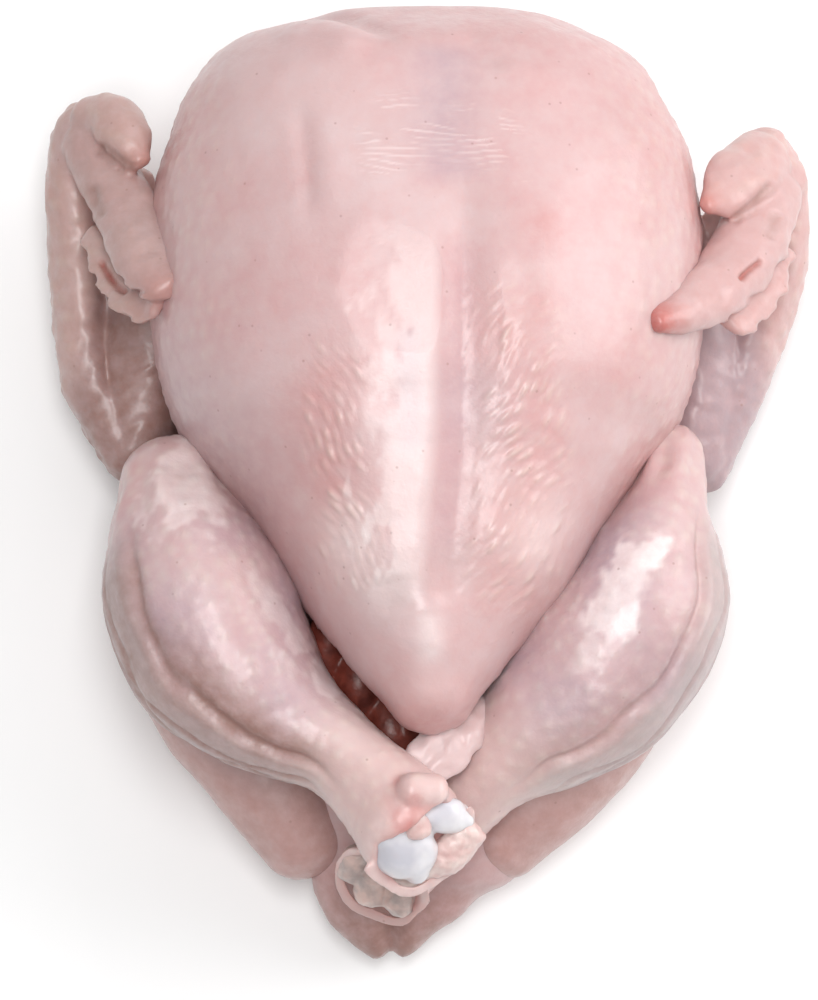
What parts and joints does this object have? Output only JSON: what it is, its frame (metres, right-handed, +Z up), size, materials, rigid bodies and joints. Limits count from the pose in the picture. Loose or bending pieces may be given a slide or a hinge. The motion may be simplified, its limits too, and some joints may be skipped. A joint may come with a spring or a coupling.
{
  "type": "whole raw chicken",
  "caption": "Whole raw chicken lying on its back, breast up, legs crossed over the open vent and wings folded at its sides.",
  "frame": {"origin": "on the flat of the back that the bird rests on, below the middle of the breast", "axes": "+Y along the bird towards the neck end, +Z up through the breast, +X towards the bird's left wing as it lies on its back seen from above with the neck end up"},
  "size_m": [0.2218, 0.2708, 0.1142],
  "materials": {
    "skin": "moist, pale pink raw poultry skin with a soft gloss",
    "cartilage": "wet pearly grey joint cartilage",
    "flesh": "wet dark pink raw meat inside the vent"
  },
  "bodies": {
    "root": {"chicken": "skin"}
  },
  "joints": []
}
